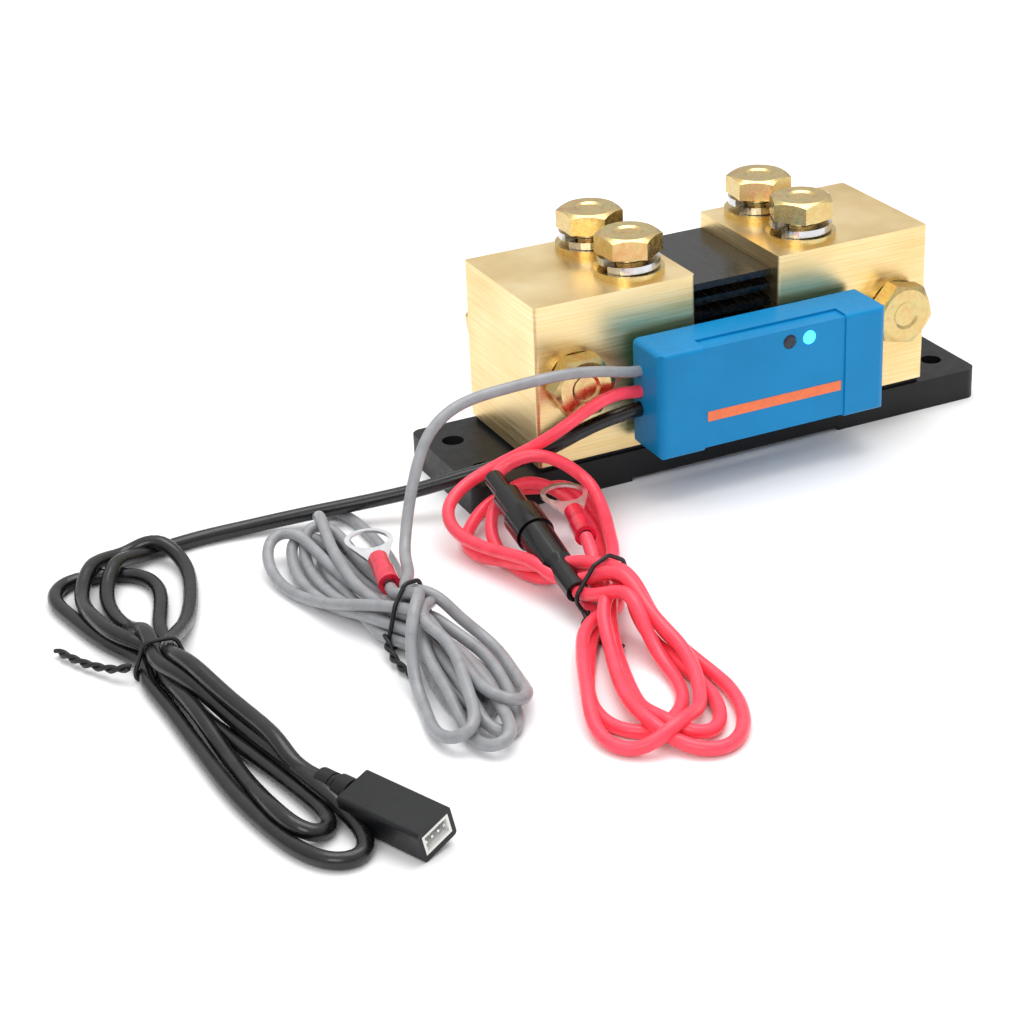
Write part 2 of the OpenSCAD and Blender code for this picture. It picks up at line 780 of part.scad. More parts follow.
// A cartridge fuse: a glass tube with a metal cap on each end
module fuse() {
    color("#c9ccd0") on_fuse_axis() translate([0, 0, fuse_tail_l + 2]) {
        translate([0, 0, 4.5]) cylinder(d = 4.8, h = 11);
        for (z = [0, 15.5]) translate([0, 0, z]) cylinder(d = 5.2, h = 4.5);
    }
}

module fuse_spring() {
    turns = 5;
    steps = 80;
    wire_r = 0.35;
    z0 = fuse_tail_l + 23.9 + wire_r + 0.03;
    rise = cap_bore_top - wire_r - 0.03 - z0;
    path = [
        for (i = [0 : steps]) let (a = 360 * turns * i / steps)
            [2.2 * cos(a), 2.2 * sin(a), z0 + rise * i / steps]
    ];
    color("#b9bcc0") on_fuse_axis() sweep(path, disc(wire_r, 6));
}

// ---- Data plug ----

// Local frame: +X points out of the plug's mouth, the front face is at x = 0
module on_plug() {
    translate([plug_tip[0], plug_tip[1], plug_z]) rotate(plug_turn) rotate([plug_roll, 0, 0])
        children();
}

module plug_body() {
    color("#333538") on_plug() difference() {
        translate([-plug_l, -plug_w / 2, -plug_h / 2]) rotate([90, 0, 90])
            linear_extrude(plug_l) round_rect(plug_w, plug_h, plug_edge_r);
        translate([-insert_depth - 1, -insert_w / 2 - 0.05, -insert_h / 2 - 0.05])
            cube([insert_depth + 2, insert_w + 0.1, insert_h + 0.1]);
    }
}

module plug_relief() {
    color("#333538") on_plug() translate([-plug_l, 0, 0]) rotate([0, -90, 0]) {
        for (i = [0 : 1]) translate([0, 0, i * 6]) {
            cylinder(d = 6, h = 1.2);
            translate([0, 0, 1.2]) cylinder(d = 7.4 - i, h = 4);
        }
        translate([0, 0, 5]) cylinder(d = 5.6, h = 2);
    }
}

module plug_insert() {
    color("#e9e9e6") on_plug() difference() {
        translate([-insert_depth, -insert_w / 2, -insert_h / 2]) cube([insert_depth, insert_w, insert_h]);
        translate([-insert_depth + 1, -insert_w / 2 + insert_wall, -insert_h / 2 + insert_wall])
            cube([insert_depth, insert_w - 2 * insert_wall, insert_h - 2 * insert_wall]);
    }
}

module plug_contacts() {
    color("#c9ccd0") on_plug() for (i = [-1.5 : 1 : 1.5])
        translate([-insert_depth + 1, i * pin_pitch - pin_w / 2, -pin_w / 2]) cube([pin_l, pin_w, pin_w]);
}

// ---- Nodes ----

base();
block_left();
block_right();
resistor_strips();
base_screws();
case_shell();
case_back();
circuit_board();
board_parts();
sense_posts();
sense_screws();
case_screws();
error_light();
link_light();
label_stripe();
grey_lead();
grey_hank();
grey_tie();
grey_ring();
grey_sleeve();
red_lead();
red_hank();
red_tie();
red_tails();
red_ring();
red_sleeve();
fuse_body();
fuse_cap();
fuse();
fuse_spring();
fuse_contact_lower();
fuse_contact_upper();
black_lead();
black_hank();
black_tie();
plug_body();
plug_relief();
plug_insert();
plug_contacts();
for (k = [1 : 4]) {
    flat_washer(k);
    spring_washer(k);
    top_bolt(k);
    side_washer(k);
    side_bolt(k);
}
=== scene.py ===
import math

import bpy
from mathutils import Matrix, Vector


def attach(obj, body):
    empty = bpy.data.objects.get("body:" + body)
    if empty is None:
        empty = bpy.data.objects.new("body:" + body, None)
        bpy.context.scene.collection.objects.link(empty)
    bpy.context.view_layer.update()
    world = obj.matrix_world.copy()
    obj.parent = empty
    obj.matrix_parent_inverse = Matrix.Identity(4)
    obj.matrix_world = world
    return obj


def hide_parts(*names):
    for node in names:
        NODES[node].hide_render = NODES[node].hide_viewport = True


MM = 0.001
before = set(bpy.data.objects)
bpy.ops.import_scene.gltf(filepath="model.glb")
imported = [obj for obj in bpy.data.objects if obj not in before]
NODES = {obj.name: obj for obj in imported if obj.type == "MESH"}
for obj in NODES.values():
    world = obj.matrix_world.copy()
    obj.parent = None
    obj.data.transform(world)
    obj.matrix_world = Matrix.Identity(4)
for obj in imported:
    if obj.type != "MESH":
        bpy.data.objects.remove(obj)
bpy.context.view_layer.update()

# ---- Camera: azimuth, elevation and roll in degrees, place in millimetres ----

CAMERA_AZIMUTH = -24.65
CAMERA_ELEVATION = 26.23
CAMERA_ROLL = -2.48
CAMERA_AT = (-333.48, -588.78, 306.44)
CAMERA_LENS = 85.9


def make_camera():
    """The camera that was fitted to the photograph."""
    a = math.radians(CAMERA_AZIMUTH)
    e = math.radians(CAMERA_ELEVATION)
    r = math.radians(CAMERA_ROLL)
    back = Vector((math.sin(a) * math.cos(e), -math.cos(a) * math.cos(e), math.sin(e)))
    level = Vector((math.cos(a), math.sin(a), 0))
    upright = back.cross(level)
    right = level * math.cos(r) + upright * math.sin(r)
    up = upright * math.cos(r) - level * math.sin(r)
    data = bpy.data.cameras.new("camera")
    data.lens = CAMERA_LENS
    data.sensor_width = 36
    data.clip_start = 0.01
    data.clip_end = 20
    camera = bpy.data.objects.new("camera", data)
    bpy.context.scene.collection.objects.link(camera)
    camera.matrix_world = Matrix((
        (right.x, up.x, back.x, CAMERA_AT[0] * MM),
        (right.y, up.y, back.y, CAMERA_AT[1] * MM),
        (right.z, up.z, back.z, CAMERA_AT[2] * MM),
        (0, 0, 0, 1),
    ))
    bpy.context.scene.camera = camera


# ---- Routes of the leads, in millimetres, as part.scad has them ----

GREY_D = 3.2
RED_D = 3.6
BLACK_D = 4.2

GREY_ROUTE = (
    (-31, -29.5, 37), (-35.6, -29.5, 37), (-40, -30.9, 38.2), (-45.3, -33.3, 40.5), (-50.6, -34, 42),
    (-56.3, -34, 43), (-63, -33.6, 43.3), (-71, -33, 43), (-79, -32.3, 42.3), (-86, -32, 41.8),
    (-93, -32.8, 41), (-98.5, -34, 39), (-102.8, -35.3, 36.2), (-106, -37, 32.8), (-108.6, -39, 29),
    (-111, -41.2, 25.2), (-113.3, -43.6, 21.4), (-115.4, -46.2, 17.4), (-117.6, -49.5, 13.4),
)
RED_ROUTE = (
    (-31, -29.5, 30.8), (-35.6, -29.5, 30.8), (-40, -31, 32.2), (-45.3, -33.5, 33.8), (-50.9, -34.1, 33),
    (-56.7, -34, 30.3), (-62.6, -32.6, 26.3), (-68.6, -29.2, 21.6), (-75, -24.9, 17.2),
    (-82, -23.4, 14.3), (-88.6, -24.2, 12.3),
)
BLACK_ROUTE = (
    (-31, -29.5, 25.7), (-35.6, -29.5, 25.7), (-41, -29, 25), (-47, -28.2, 23.9), (-53, -27.3, 22),
    (-59.4, -26.5, 19.5), (-65.6, -25.2, 17.2), (-71.2, -23.2, 15.4), (-76.9, -21, 13.8),
    (-82.3, -19, 12.5), (-87.9, -17, 11.2), (-94, -15, 9.7), (-100.7, -12.6, 8.2), (-108.5, -9.8, 6.9),
    (-116.8, -6.8, 5.6), (-126, -3.8, 4.5), (-136, -1, 3.3), (-146, 0.8, 2.5),
)
FUSE_CAP_TAIL = (
    (-57.2, -40, 9.2), (-57.9, -38, 12.3), (-60.1, -36.5, 15.1), (-63.9, -35, 18.2), (-68, -34, 20.5),
    (-71.4, -32.2, 20.9), (-73.4, -31, 20.3), (-75.4, -30, 19.2), (-78.1, -28.6, 17.1),
    (-80.3, -27.7, 16.2), (-81.9, -28.2, 15.6), (-82.2, -30, 15.3),
)
FUSE_BODY_TAIL = ((-86, -88, 7.5), (-86, -90.5, 7.2))
RED_RING_TAIL = ((-74.1, -72, 10.6), (-73.2, -68, 11.6))
GREY_RING_TAIL = ((-129.4, -68.5, 8.4), (-128.9, -65.4, 9.6))
PLUG_TAIL = ((-180.4, -128, 5.4), (-178.3, -133.4, 5.5), (-177, -136.6, 5.5))

# ---- The hanks, seen from above, in millimetres ----
# A tie is (x, y, turn); a slot is how far to the side of its middle a run goes through it.
# A loop is the points it goes round by, from one run through the tie to the next. The loops'
# points come from the strands' places in the photograph, carried over to the floor by a scratch
# program through the fitted camera, then rounded and adjusted by hand.

GREY_TIE = (-129.2, -77.5, 27)
GREY_SLOTS = (3.1, -3.1, 1.5, -4.6, 0, -3.1, 3.1, -6.2, 6.2, -1.5, 4.6, 0)
GREY_IN = ((-120.4, -55), (-123, -65))
GREY_OUT = ((-130.6, -71.5),)
GREY_BOTTOM = (
    ((-121, -85), (-115, -88.5), (-113, -95), (-114, -106), (-116.2, -118), (-118.8, -126),
     (-123, -130.5), (-127.2, -129), (-129, -122.5), (-128.8, -112), (-128.5, -100)),
    ((-124, -86.5), (-118.5, -96), (-119, -111), (-122, -126), (-124.6, -133), (-128.6, -136),
     (-132.2, -132.5), (-132.2, -124), (-130.5, -104)),
    ((-126, -90), (-122.5, -100), (-123.8, -112), (-125.8, -121), (-129.2, -126.2),
     (-133.4, -125), (-135, -118), (-133, -100)),
    ((-125, -88), (-121, -97), (-121, -108), (-123.6, -118.5), (-127, -124),
     (-131.4, -123), (-133, -116), (-132, -100)),
    ((-128, -88), (-124.8, -97.6), (-125.5, -112), (-126.8, -126), (-128.2, -136), (-132, -142),
     (-136, -139.5), (-137, -131), (-135, -114), (-133.5, -98)),
    ((-132.5, -92.5), (-129.5, -99.5), (-130, -109), (-132.6, -120), (-134.6, -129.5), (-138, -136),
     (-142.2, -134.5), (-143.8, -127), (-141, -114), (-137, -97)),
)
GREY_TOP = (
    ((-140.6, -65), (-145.5, -49), (-148.8, -35), (-147.8, -23), (-143.5, -16.5), (-138.5, -17.5),
     (-136, -27), (-133.5, -45), (-130, -62)),
    ((-138.5, -68), (-141, -56), (-143, -45), (-142.8, -32), (-140, -21), (-135, -15.3), (-131, -18.5),
     (-129.5, -30), (-128.5, -48), (-127, -62)),
    ((-134.3, -62), (-135, -50), (-134.8, -34), (-131.8, -22), (-127.5, -18), (-124, -23.5),
     (-123.5, -36), (-123.5, -50), (-124.5, -62)),
    ((-136.7, -63), (-138.7, -49), (-138.8, -31.5), (-135.8, -20), (-131.6, -14.6), (-127.2, -16.6),
     (-125.6, -25), (-126, -38), (-126, -50), (-126, -62)),
    ((-133, -62.5), (-134, -49.5), (-132, -32.5), (-128.8, -16), (-125.5, -4), (-121, 1.8),
     (-117.4, -3.5), (-116, -13), (-116, -27), (-117.5, -40), (-121, -54), (-124, -64)),
)
RED_TIE = (-79.5, -89.5, 15)
RED_IN = (
    (-94, -26.6, 10.4), (-97.6, -31, 8.8), (-98.8, -36, 7.6), (-98.5, -42, 6.8), (-96.5, -50),
    (-92.5, -61), (-89.2, -73), (-86.5, -82),
)
FUSED_SLOTS = (-1.6, 3.4, 2, 6.8)
FUSED_OUT = ((-69, -76), (-63, -62), (-58.5, -50))
FUSED_BOTTOM = (
    ((-78, -98), (-77.5, -112), (-75.5, -124), (-79, -139), (-86, -150.5), (-96.5, -157),
     (-105.5, -156.5), (-110, -150), (-109.3, -141), (-104.5, -129), (-98.5, -115), (-90, -101)),
    ((-75.5, -100), (-75.3, -113), (-72.4, -128), (-71.5, -141), (-75.6, -155), (-83, -164),
     (-90, -165), (-96, -158), (-99, -147), (-97, -134), (-91, -116), (-84, -99)),
)
FUSED_TOP = (
    ((-69.5, -76), (-62.5, -62), (-58, -48), (-58.5, -36), (-64, -29, 7), (-74, -27.5, 9), (-84, -28.5, 7),
     (-91, -32.5, 4), (-95.5, -38), (-96.6, -46), (-92.7, -56), (-87.5, -70)),
)
RINGED_SLOTS = (None, -3.4, 5.4, 0)
RINGED_IN = ((-84.3, -96),)
RINGED_OUT = ((-75.2, -78),)
RINGED_BOTTOM = (
    ((-80.5, -104), (-80.8, -113), (-80.5, -123), (-81.5, -134), (-86.5, -144), (-94.5, -150.5),
     (-101.5, -149), (-105.8, -141), (-104, -129), (-98, -117), (-89, -102)),
    ((-77, -100), (-77, -114), (-76.3, -130), (-77, -143), (-81.5, -154), (-88, -159.5), (-93.8, -154),
     (-95.8, -143), (-93, -130), (-87.5, -112), (-82, -98)),
)
RINGED_TOP = (
    ((-71, -76), (-65.5, -62), (-61.5, -48), (-61.5, -37), (-65, -31, 9), (-72, -29.5, 12),
     (-80, -31, 10.5), (-86.5, -36, 7), (-90, -46), (-89.8, -58), (-86, -71)),
)
BLACK_TIE = (-191.3, -64.3, -14)
BLACK_IN = (
    (-155, 1.8), (-163, 1.6), (-170, 0.4), (-177, -1.8), (-183.5, -5.5), (-189, -12),
    (-192.6, -21), (-193.5, -31.8), (-192, -46),
)
BLACK_SLOTS = (-2, -4.2, 4.1, 0, 2.2)
BLACK_OUT = ((-188, -84), (-185.4, -96), (-182.4, -111))
BLACK_BOTTOM = (
    ((-187, -92), (-183.5, -110), (-180.5, -126), (-178.5, -139), (-175.8, -150), (-175.4, -160),
     (-179.6, -166.4), (-185.8, -164), (-190.6, -155), (-193.6, -141), (-195.3, -126),
     (-195.8, -104), (-196, -81)),
    ((-190, -88), (-187.5, -104), (-183.6, -122), (-180.8, -137), (-179.6, -148), (-183.2, -154.6),
     (-188.4, -152), (-190.6, -142), (-190.8, -130), (-191, -112), (-192, -90)),
)
BLACK_TOP = (
    ((-200.5, -41), (-204, -23), (-205.2, -14), (-202, -7), (-197, -5), (-190, -6.2), (-184, -8.5),
     (-179.2, -13), (-178, -21), (-181.5, -33), (-185.5, -44)),
    ((-197.8, -48), (-200, -35), (-199.3, -21.5), (-195.8, -11.2), (-188, -2), (-178, 1.8),
     (-170.2, -1.5), (-167.6, -11), (-169.6, -22), (-174.8, -37), (-181, -49)),
)
LAYING = (
    ("grey", 5), ("grey", 6), ("grey", 4), ("grey", 7), ("grey", 3), ("grey", 8),
    ("grey", 2), ("grey", 9), ("grey", 1), ("grey", 10), ("grey", 0), ("grey", 11),
    ("ringed", 1), ("fused", 1), ("ringed", 3), ("fused", 3),
    ("ringed", 2), ("fused", 2), ("fused", 0), ("ringed", 0),
    ("black", 2), ("black", 1), ("black", 3), ("black", 0), ("black", 4),
)
# Which run is laid when is LAYING, as (cord, run). Lengths are in millimetres.
SNUG = 0.94  # how close strands lie, as a share of their two radii
FINE = 1.5  # distance between a plan's points
CONTROL_SPACING = 5  # distance between a cord's control points
NEAR = 14  # points of the same cord that don't count as another strand
STEEPEST = 0.45  # rise per distance where a run joins the next
TIE_STRAIGHT = 5  # how far a run goes straight on either side of its tie
ROUND_CORNERS = 6
EASE_HEIGHTS = 60
LOOSE_ROUNDS = 4  # last rounds of easing, in which a strand may sink into the pile
CORD_SIDES = 4
WIRE_SIDES = 3
CURVE_STEPS = 3


def dense(points, step=FINE):
    """A smooth line through the points with a point about every step, as lists [x, y, z].

    z is None where it isn't given.
    """
    ends = [points[0], *points, points[-1]]
    out = [list(points[0])]
    for p, a, b, q in zip(ends, ends[1:], ends[2:], ends[3:]):
        span = math.dist(a[:2], b[:2])
        leave = slope(p, a, b, span)
        arrive = slope(a, b, q, span)
        n = max(1, round(span / step))
        for i in range(1, n + 1):
            f = i / n
            x, y = (
                (2 * f**3 - 3 * f**2 + 1) * a[k] + (f**3 - 2 * f**2 + f) * leave[k]
                + (3 * f**2 - 2 * f**3) * b[k] + (f**3 - f**2) * arrive[k]
                for k in (0, 1)
            )
            given = a[2] is not None and b[2] is not None
            out.append([x, y, a[2] + (b[2] - a[2]) * f if given else None])
    return out


def slope(before, at, after, span):
    """Which way a smooth line runs at a point, as long as the span."""
    length = math.dist(before[:2], at[:2]) + math.dist(at[:2], after[:2])
    return [(after[k] - before[k]) / length * span for k in (0, 1)]


def ease(line, rounds, first, last):
    """Rounds the corners of a line in plan, between two of its points."""
    for _ in range(rounds):
        old = [p[:2] for p in line]
        for i in range(max(1, first), min(len(line) - 1, last)):
            for k in (0, 1):
                line[i][k] = (old[i - 1][k] + 2 * old[i][k] + old[i + 1][k]) / 4


def through_tie(tie, offset, downwards):
    """Points straight through a tie, offset sideways from its middle."""
    x, y, turn = tie
    ax, ay = math.cos(math.radians(turn)), math.sin(math.radians(turn))
    along = (TIE_STRAIGHT, 0, -TIE_STRAIGHT)
    points = [(x + ax * offset - ay * s, y + ay * offset + ax * s, None) for s in along]
    return points if downwards else points[::-1]


def flat(points):
    """The points with a height, or None where they have none."""
    return [(*p, None)[:3] for p in points]


def hank_run(tie, slots, bottoms, tops, way_in, way_out):
    """A lead's line inside its hank, in runs from loop to loop through the tie."""
    runs = [flat(way_in)]
    for i, slot in enumerate(slots):
        downwards = i % 2 == 0
        if slot is not None:
            runs[-1] += through_tie(tie, slot, downwards)
        if i == len(slots) - 1:
            break
        loop = flat(bottoms[i // 2] if downwards else tops[i // 2])
        middle = len(loop) // 2
        runs[-1] += loop[: middle + 1]
        runs.append(loop[middle:])
    runs[-1] += flat(way_out)
    return runs


class Pile:
    """What already lies on the floor: points of cords with their radii."""

    CELL = 6

    def __init__(self):
        self.cells = {}

    def near(self, x, y):
        """The pile's points in a cell and in the eight cells round it."""
        for i in (-1, 0, 1):
            for j in (-1, 0, 1):
                yield from self.cells.get((x // self.CELL + i, y // self.CELL + j), ())

    def add(self, point, radius, name, index):
        x, y, z = point
        key = (x // self.CELL, y // self.CELL)
        self.cells.setdefault(key, []).append((x, y, z, radius, name, index))

    def need(self, point, radius, name, index):
        """How high the middle of a cord has to be at a point to lie on the pile."""
        x, y = point[:2]
        high = radius
        for px, py, pz, pr, other, k in self.near(x, y):
            reach = (radius + pr) * SNUG
            apart = (x - px) ** 2 + (y - py) ** 2
            if apart < reach * reach and (other != name or abs(k - index) > NEAR):
                high = max(high, pz + math.sqrt(reach * reach - apart))
        return high


def plan_cord(name, diameter, before, runs, after):
    """A whole cord seen from above: its lead, its hank's runs and its tail."""
    points = list(before)
    turns = []
    for run in runs:
        points += run[1:] if points[-1][:2] == run[0][:2] else run
        turns.append(len(dense(points)) - 1)
    points += after
    line = dense(points)
    ease(line, ROUND_CORNERS, len(dense(before)), len(line) - len(dense(after)))
    spans = []
    first = 0
    for turn in turns[:-1]:
        spans.append((first, turn))
        first = turn
    spans.append((first, len(line)))
    return {"name": name, "radius": diameter / 2, "line": line, "spans": spans}


def near_ends(need, line, first, last):
    """Keeps a run's heights within a gentle slope of what it joins at either end."""
    for i in need:
        for end in (first - 1, last):
            if 0 <= end < len(line) and line[end][2] is not None:
                rise = STEEPEST * FINE * abs(i - end)
                need[i] = min(max(need[i], line[end][2] - rise), line[end][2] + rise)


def lay_run(cord, run, pile):
    """Gives one run its heights: it lies on the pile and bends gently."""
    line = cord["line"]
    first, last = cord["spans"][run]
    free = [i for i in range(first, last) if line[i][2] is None]
    need = {i: pile.need(line[i], cord["radius"], cord["name"], i) for i in free}
    near_ends(need, line, free[0], free[-1] + 1)
    for i in free:
        line[i][2] = need[i]
    for left in range(EASE_HEIGHTS, 0, -1):
        old = [p[2] for p in line]
        for i in free:
            before = old[i - 1] if i > 0 and old[i - 1] is not None else old[i]
            after = old[i + 1] if i + 1 < len(line) and old[i + 1] is not None else old[i]
            smooth = (before + 2 * old[i] + after) / 4
            line[i][2] = max(need[i], smooth) if left > LOOSE_ROUNDS else smooth
    for i in free:
        pile.add(line[i], cord["radius"], cord["name"], i)


def lay_all():
    """Every cord, by name, with heights given. What is laid first lies lowest."""
    grey = hank_run(GREY_TIE, GREY_SLOTS, GREY_BOTTOM, GREY_TOP, GREY_IN, GREY_OUT)
    fused = hank_run(RED_TIE, FUSED_SLOTS, FUSED_BOTTOM, FUSED_TOP, RED_IN, FUSED_OUT)
    ringed = hank_run(RED_TIE, RINGED_SLOTS, RINGED_BOTTOM, RINGED_TOP, RINGED_IN, RINGED_OUT)
    black = hank_run(BLACK_TIE, BLACK_SLOTS, BLACK_BOTTOM, BLACK_TOP, BLACK_IN, BLACK_OUT)
    cords = {
        "grey": plan_cord("grey", GREY_D, GREY_ROUTE, grey, GREY_RING_TAIL),
        "fused": plan_cord("fused", RED_D, RED_ROUTE, fused, FUSE_CAP_TAIL),
        "ringed": plan_cord("ringed", RED_D, FUSE_BODY_TAIL, ringed, RED_RING_TAIL),
        "black": plan_cord("black", BLACK_D, BLACK_ROUTE, black, PLUG_TAIL),
    }
    pile = Pile()
    for name, run in LAYING:
        lay_run(cords[name], run, pile)
    return cords


def even(line, spacing):
    """Points at even distances along a line."""
    lengths = [0]
    for a, b in zip(line, line[1:]):
        lengths.append(lengths[-1] + math.dist(a, b))
    total = lengths[-1]
    count = max(2, round(total / spacing))
    out = []
    k = 0
    for i in range(count + 1):
        at = total * i / count
        while k < len(line) - 2 and lengths[k + 1] < at:
            k += 1
        span = lengths[k + 1] - lengths[k]
        f = (at - lengths[k]) / span if span else 0
        out.append([line[k][j] + (line[k + 1][j] - line[k][j]) * f for j in range(3)])
    return out, total


def make_cord(name, line, diameter, slot, nodes):
    """A curve of one open spline along the line, in place of the nodes."""
    points, total = even(line, CONTROL_SPACING)
    data = bpy.data.curves.new(name, "CURVE")
    data.dimensions = "3D"
    data.bevel_depth = diameter / 2 * MM
    data.bevel_resolution = CORD_SIDES
    data.resolution_u = CURVE_STEPS
    data.use_fill_caps = True
    spline = data.splines.new("NURBS")
    spline.points.add(len(points) - 1)
    for p, q in zip(spline.points, points):
        p.co = (q[0] * MM, q[1] * MM, q[2] * MM, 1)
    spline.use_endpoint_u = True
    spline.order_u = 4
    data.materials.append(MATERIALS[slot])
    cord = bpy.data.objects.new(name, data)
    bpy.context.scene.collection.objects.link(cord)
    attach(cord, "shunt")
    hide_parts(*nodes)
    print(name, "length", round(total, 1), "mm, highest", round(max(p[2] for p in points), 1))
    return cord


# ---- Materials ----


def colour(r, g, b):
    """A colour given as it looks on a screen, 0 to 255, in the linear values that Blender takes."""
    out = []
    for c in (r, g, b):
        c /= 255
        out.append(c / 12.92 if c <= 0.04045 else ((c + 0.055) / 1.055) ** 2.4)
    return (*out, 1)


class Surface:
    """A material under construction: its shader and the nodes that vary it."""

    def __init__(self, name, base, roughness, metallic=0, coat=0, specular=0.5):
        self.material = bpy.data.materials.new(name)
        self.material.use_nodes = True
        self.nodes = self.material.node_tree.nodes
        self.links = self.material.node_tree.links
        self.shader = self.nodes["Principled BSDF"]
        self.shader.inputs["Base Color"].default_value = base
        self.shader.inputs["Roughness"].default_value = roughness
        self.shader.inputs["Metallic"].default_value = metallic
        self.shader.inputs["Specular IOR Level"].default_value = specular
        self.shader.inputs["Coat Weight"].default_value = coat
        self.shader.inputs["Coat Roughness"].default_value = 0.08
        self.place = self.nodes.new("ShaderNodeTexCoord").outputs["Object"]
        self.last_bump = None

    def noise(self, size, detail=4, stretch=(1, 1, 1), distortion=0):
        """Noise with features about size millimetres across, drawn out along stretch."""
        mapping = self.nodes.new("ShaderNodeMapping")
        mapping.inputs["Scale"].default_value = [1 / (size * MM * s) for s in stretch]
        self.links.new(self.place, mapping.inputs["Vector"])
        noise = self.nodes.new("ShaderNodeTexNoise")
        noise.inputs["Scale"].default_value = 1
        noise.inputs["Detail"].default_value = detail
        noise.inputs["Distortion"].default_value = distortion
        self.links.new(mapping.outputs["Vector"], noise.inputs["Vector"])
        return noise.outputs["Fac"]

    def ramp(self, source, *stops):
        """Turns a value into a colour; a stop is (position, colour)."""
        ramp = self.nodes.new("ShaderNodeValToRGB")
        elements = ramp.color_ramp.elements
        elements[0].position, elements[0].color = stops[0]
        elements[1].position, elements[1].color = stops[-1]
        for position, tint in stops[1:-1]:
            elements.new(position).color = tint
        self.links.new(source, ramp.inputs["Fac"])
        return ramp.outputs["Color"]

    def spread(self, source, low, high):
        """Maps a value from about 0.3-0.7 to low-high."""
        spread = self.nodes.new("ShaderNodeMapRange")
        spread.inputs["From Min"].default_value = 0.3
        spread.inputs["From Max"].default_value = 0.7
        spread.inputs["To Min"].default_value = low
        spread.inputs["To Max"].default_value = high
        self.links.new(source, spread.inputs["Value"])
        return spread.outputs["Result"]

    def blend(self, factor, a, b, mode="MIX"):
        """Mixes two colours by a value."""
        mix = self.nodes.new("ShaderNodeMix")
        mix.data_type = "RGBA"
        mix.blend_type = mode
        for socket, value in zip((mix.inputs[0], mix.inputs[6], mix.inputs[7]), (factor, a, b)):
            if isinstance(value, bpy.types.NodeSocket):
                self.links.new(value, socket)
            else:
                socket.default_value = value
        return mix.outputs[2]

    def paint(self, source):
        self.links.new(source, self.shader.inputs["Base Color"])

    def wear(self, source, low, high):
        self.links.new(self.spread(source, low, high), self.shader.inputs["Roughness"])

    def bump(self, source, height, strength=1):
        """Raises the surface by up to height millimetres."""
        bump = self.nodes.new("ShaderNodeBump")
        bump.inputs["Distance"].default_value = height * MM
        bump.inputs["Strength"].default_value = strength
        self.links.new(source, bump.inputs["Height"])
        if self.last_bump:
            self.links.new(self.last_bump, bump.inputs["Normal"])
        self.last_bump = bump.outputs["Normal"]
        self.links.new(self.last_bump, self.shader.inputs["Normal"])


def brass():
    """Rolled brass: fine level streaks, a little clouding."""
    s = Surface("brass", colour(250, 222, 164), 0.34, metallic=1)
    streaks = s.noise(0.7, 5, stretch=(40, 40, 0.5))
    clouds = s.noise(22, 3, stretch=(2, 2, 0.8))
    gold = s.ramp(
        streaks,
        (0.3, colour(238, 206, 144)),
        (0.5, colour(250, 224, 168)),
        (0.72, colour(255, 238, 196)),
    )
    dull = s.ramp(clouds, (0.36, colour(232, 218, 190)), (0.62, colour(255, 255, 255)))
    s.paint(s.blend(0.6, gold, dull, "MULTIPLY"))
    s.wear(streaks, 0.28, 0.42)
    s.bump(streaks, 0.02, 0.5)
    s.bump(s.noise(0.3, 4), 0.008, 0.4)
    return s.material


def yellow_zinc():
    """Yellow passivated steel: gold with faint green and pink patches."""
    s = Surface("yellow_zinc", colour(206, 176, 112), 0.24, metallic=1)
    patches = s.noise(7, 3, distortion=1.2)
    gold = s.ramp(
        patches,
        (0.3, colour(196, 152, 82)),
        (0.46, colour(212, 180, 112)),
        (0.58, colour(192, 184, 120)),
        (0.68, colour(206, 146, 104)),
    )
    s.paint(s.blend(s.noise(1.2, 5), gold, colour(226, 202, 146)))
    s.wear(s.noise(2.2, 5), 0.16, 0.36)
    s.bump(s.noise(0.8, 5), 0.02, 0.5)
    return s.material


def bright_metal(name, base, low, high, grain):
    """Bright metal, slightly dulled in places; low and high are its roughness."""
    s = Surface(name, base, (low + high) / 2, metallic=1)
    tarnish = s.noise(4, 4)
    dark = [c * 0.88 for c in base[:3]] + [1]
    s.paint(s.ramp(tarnish, (0.3, dark), (0.6, base)))
    s.wear(s.noise(grain, 5), low, high)
    s.bump(s.noise(grain * 0.6, 4), 0.012, 0.5)
    return s.material


def moulded(name, base, roughness, grain, height, coat=0, change=0.14, specular=0.4):
    """Moulded plastic: fine grain, and slow changes of tone and gloss."""
    s = Surface(name, base, roughness, coat=coat, specular=specular)
    slow = s.noise(18, 3)
    light = [min(1, c * (1 + change) + 0.002) for c in base[:3]] + [1]
    dark = [c * (1 - change) for c in base[:3]] + [1]
    s.paint(s.ramp(slow, (0.3, dark), (0.7, light)))
    s.wear(s.noise(grain * 6, 4), roughness - 0.06, roughness + 0.08)
    s.bump(s.noise(grain, 3), height, 0.6)
    return s.material


def lacquer():
    """Black lacquer over rough metal, a little thin along its brush marks."""
    s = Surface("strip_black", colour(15, 15, 16), 0.24, coat=0.15, specular=0.35)
    marks = s.noise(1.4, 5, stretch=(1, 9, 1))
    s.paint(s.ramp(marks, (0.35, colour(8, 8, 9)), (0.75, colour(30, 29, 28))))
    s.wear(marks, 0.14, 0.4)
    s.bump(marks, 0.06, 0.6)
    s.bump(s.noise(5, 2), 0.12, 0.4)
    return s.material


